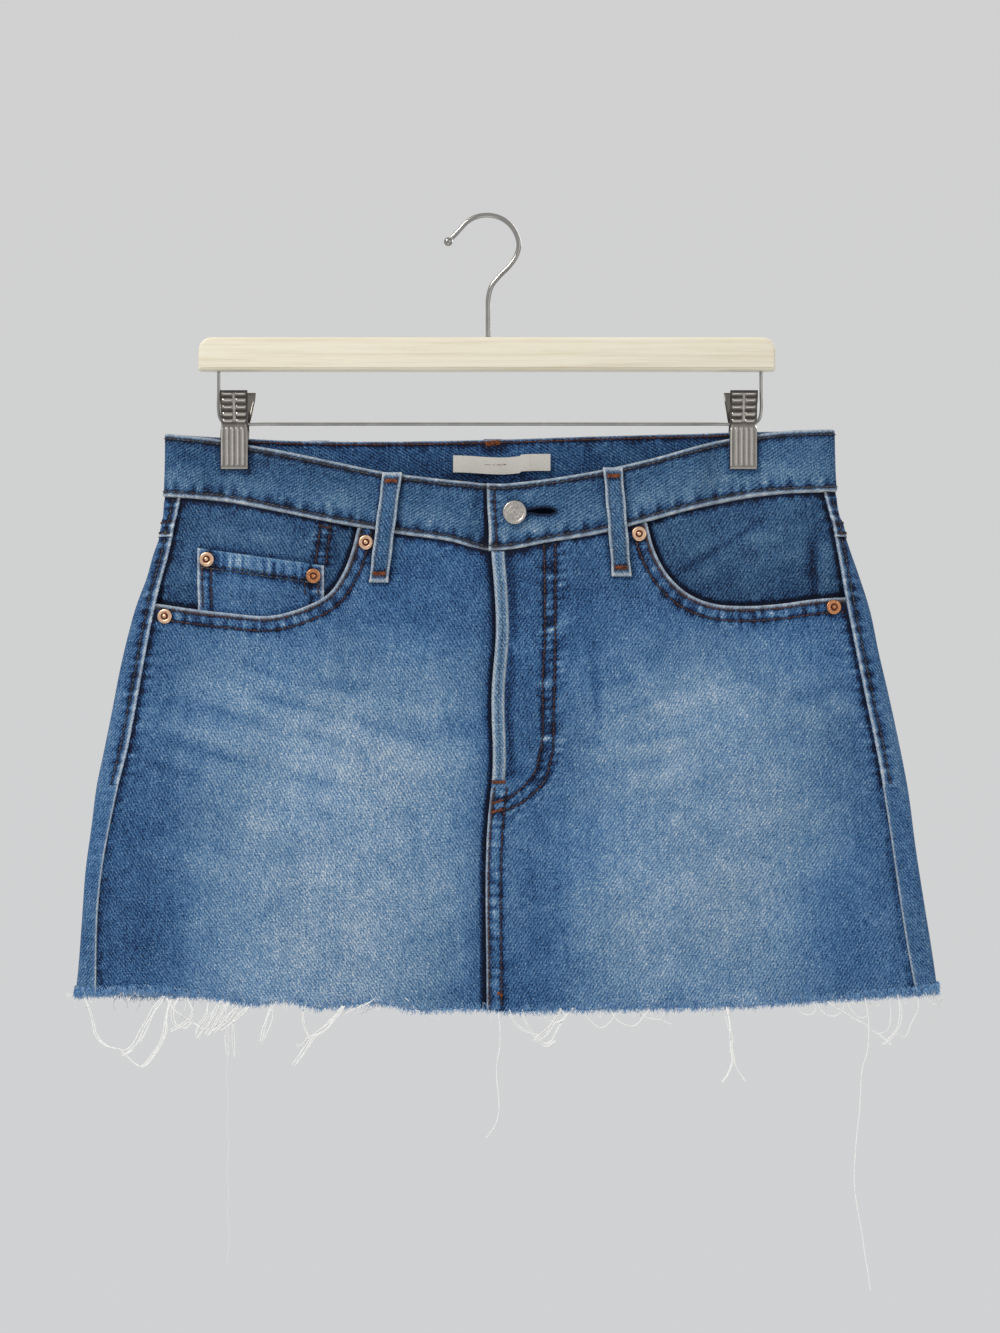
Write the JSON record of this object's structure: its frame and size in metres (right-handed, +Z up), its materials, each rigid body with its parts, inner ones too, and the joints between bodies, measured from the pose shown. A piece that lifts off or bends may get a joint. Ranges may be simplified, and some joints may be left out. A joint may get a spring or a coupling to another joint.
{
  "type": "denim mini skirt on clip hanger",
  "caption": "Short blue denim skirt with curved front pockets, a button fly and a raw frayed hem, held flat by two steel clips on a pale wooden hanger with a wire hook.",
  "frame": {"origin": "inside of the hook's crown, where a rail or peg holds the hanger", "axes": "+Z up along the hook's stem, -Y out of the skirt's front, +X to the right when seen from the front"},
  "size_m": [0.5289, 0.0423, 0.659],
  "materials": {
    "denim": "mid-blue washed cotton twill, faded on the thighs",
    "white_thread": "loose undyed cotton yarn",
    "copper_rivet": "copper-coloured, softly worn",
    "button_metal": "worn silver-coloured shank button",
    "label_cotton": "smooth woven cream tape",
    "pale_wood": "pale, satin lacquered",
    "hanger_steel": "bright nickel-plated wire and sheet"
  },
  "bodies": {
    "root": {"front_left": "denim", "front_right": "denim", "back_left": "denim", "back_right": "denim", "yoke_left": "denim", "yoke_right": "denim", "waistband": "denim", "pocket_facing_left": "denim", "pocket_facing_right": "denim", "coin_pocket": "denim", "belt_loop_front_left": "denim", "belt_loop_front_right": "denim", "belt_loop_back_left": "denim", "belt_loop_back_right": "denim", "belt_loop_back_centre": "denim", "back_pocket_left": "denim", "back_pocket_right": "denim", "fly_edge": "denim", "hem_fringe_front": "white_thread", "hem_fringe_back": "white_thread", "thread_centre": "white_thread", "thread_right": "white_thread", "rivet_left_inner": "copper_rivet", "rivet_left_outer": "copper_rivet", "rivet_right_inner": "copper_rivet", "rivet_right_outer": "copper_rivet", "rivet_coin_outer": "copper_rivet", "rivet_coin_inner": "copper_rivet", "button": "button_metal", "size_label": "label_cotton", "hanger_bar": "pale_wood", "hook_wire": "hanger_steel", "hook_tip": "hanger_steel", "clip_wire": "hanger_steel", "clip_left_front_jaw": "hanger_steel", "clip_left_back_jaw": "hanger_steel", "clip_right_front_jaw": "hanger_steel", "clip_right_back_jaw": "hanger_steel", "clip_left_spring": "hanger_steel", "clip_right_spring": "hanger_steel"}
  },
  "joints": []
}
